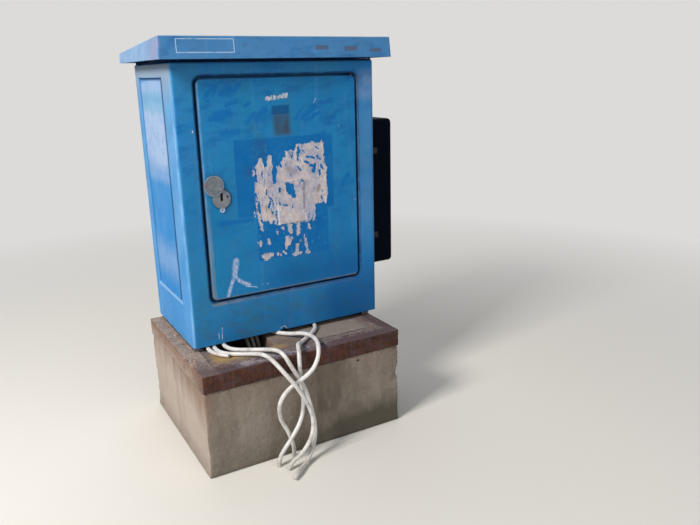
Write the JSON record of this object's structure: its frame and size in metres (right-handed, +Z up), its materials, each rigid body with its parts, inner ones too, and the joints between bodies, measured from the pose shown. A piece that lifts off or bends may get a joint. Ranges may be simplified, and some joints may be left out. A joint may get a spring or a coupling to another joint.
{
  "type": "roadside utility cabinet",
  "caption": "Plastic utility cabinet with a hinged, locking door, sloped hood and side box, bolted to a concrete plinth with loose cables.",
  "frame": {"origin": "centre of the plinth's underside, where it stands on the ground", "axes": "+X along the front to the right, +Y from the front to the rear, +Z up"},
  "size_m": [0.6605, 0.5912, 1.0095],
  "materials": {
    "concrete": "rough cast, weathered",
    "angle_steel": "rusty",
    "packer_steel": "rusty",
    "bolt_steel": "zinc plated, dull",
    "shell_plastic": "faded glass-fibre polyester, satin",
    "roof_plastic": "faded glass-fibre polyester, satin",
    "door_plastic": "faded glass-fibre polyester, satin",
    "gasket_rubber": "matt",
    "bush_brass": "dull",
    "zinc_steel": "galvanised",
    "rail_steel": "zinc plated",
    "lock_steel": "weathered, lightly rusted",
    "lock_case_metal": "die-cast zinc, dull",
    "black_plastic": "moulded nylon",
    "switch_black": "moulded",
    "toggle_black": "moulded",
    "device_grey": "moulded",
    "device_white": "moulded",
    "terminal_plastic": "moulded polyamide",
    "bar_brass": "bright",
    "cable_white": "sheathed, slightly dirty",
    "cable_grey": "sheathed, dirty",
    "box_plastic": "moulded, matt"
  },
  "bodies": {
    "base": {"plinth_block": "concrete", "plinth_angle_frame": "angle_steel", "packers": "packer_steel", "anchor_bolts": "bolt_steel", "cabinet_shell": "shell_plastic", "vent_collar": "shell_plastic", "roof_cap": "roof_plastic", "roof_screws": "bolt_steel", "door_gasket": "gasket_rubber", "hinge_bushes": "bush_brass", "plate_standoffs": "black_plastic", "mounting_plate": "zinc_steel", "din_rail_upper": "rail_steel", "din_rail_lower": "rail_steel", "main_switch": "device_grey", "terminal_blocks": "terminal_plastic", "neutral_bar": "bar_brass", "earth_bar": "bar_brass", "bar_supports": "device_grey", "bar_screws": "bolt_steel", "clamp_rail": "rail_steel", "rail_brackets": "zinc_steel", "cable_clamps": "black_plastic", "cable_tails": "cable_white", "side_box_base": "box_plastic", "side_box_cover": "box_plastic", "side_box_brackets": "zinc_steel", "side_box_screws": "bolt_steel", "circuit_breaker_1": "device_white", "circuit_breaker_2": "device_white", "circuit_breaker_3": "device_white", "circuit_breaker_4": "device_white", "cable_a": "cable_white", "cable_b": "cable_white", "cable_c": "cable_white", "cable_d": "cable_white", "cable_stub": "cable_white", "shaft_cable_1": "cable_grey", "shaft_cable_2": "cable_grey", "shaft_cable_3": "cable_grey"},
    "door": {"door_panel": "door_plastic", "hinge_lugs": "zinc_steel", "hinge_pins": "zinc_steel", "lock_escutcheon": "lock_steel", "lock_rivet": "lock_steel", "lock_case": "lock_case_metal", "rod_guides": "black_plastic"},
    "lock_cover": {"lock_cover_disc": "lock_steel"},
    "lock_spindle": {"lock_spindle": "lock_case_metal"},
    "upper_rod": {"upper_rod": "zinc_steel"},
    "lower_rod": {"lower_rod": "zinc_steel"},
    "switch_handle": {"main_switch_handle": "switch_black"},
    "toggle_1": {"breaker_toggle_1": "toggle_black"},
    "toggle_2": {"breaker_toggle_2": "toggle_black"},
    "toggle_3": {"breaker_toggle_3": "toggle_black"},
    "toggle_4": {"breaker_toggle_4": "toggle_black"}
  },
  "joints": [
    {"name": "door_hinge", "type": "hinge", "parent": "base", "child": "door", "pos_m": [0.2238, -0.0825, 0.655], "axis": [0, 0, 1], "range_deg": [0, 110]},
    {"name": "lock_cover_swing", "type": "hinge", "parent": "door", "child": "lock_cover", "pos_m": [-0.143, -0.0936, 0.665], "axis": [0, -1, 0], "range_deg": [-25, 119]},
    {"name": "lock_turn", "type": "hinge", "parent": "door", "child": "lock_spindle", "pos_m": [-0.143, -0.08, 0.647], "axis": [0, -1, 0], "range_deg": [0, 90]},
    {"name": "upper_rod_slide", "type": "slide", "parent": "door", "child": "upper_rod", "axis": [0, 0, 1], "range_m": [0, 0.018]},
    {"name": "lower_rod_slide", "type": "slide", "parent": "door", "child": "lower_rod", "axis": [0, 0, -1], "range_m": [0, 0.018]},
    {"name": "main_switch_turn", "type": "hinge", "parent": "base", "child": "switch_handle", "pos_m": [-0.095, 0.1485, 0.783], "axis": [0, -1, 0], "range_deg": [0, 90]},
    {"name": "breaker_toggle_1_throw", "type": "hinge", "parent": "base", "child": "toggle_1", "pos_m": [0.04, 0.1395, 0.783], "axis": [1, 0, 0], "range_deg": [0, 80]},
    {"name": "breaker_toggle_2_throw", "type": "hinge", "parent": "base", "child": "toggle_2", "pos_m": [0.058, 0.1395, 0.783], "axis": [1, 0, 0], "range_deg": [0, 80]},
    {"name": "breaker_toggle_3_throw", "type": "hinge", "parent": "base", "child": "toggle_3", "pos_m": [0.076, 0.1395, 0.783], "axis": [1, 0, 0], "range_deg": [0, 80]},
    {"name": "breaker_toggle_4_throw", "type": "hinge", "parent": "base", "child": "toggle_4", "pos_m": [0.094, 0.1395, 0.783], "axis": [1, 0, 0], "range_deg": [0, 80]}
  ],
  "couplings": [
    {"joint": "upper_rod_slide", "follows": "lock_turn", "m_per_rad": 0.011434},
    {"joint": "lower_rod_slide", "follows": "lock_turn", "m_per_rad": 0.011434}
  ]
}
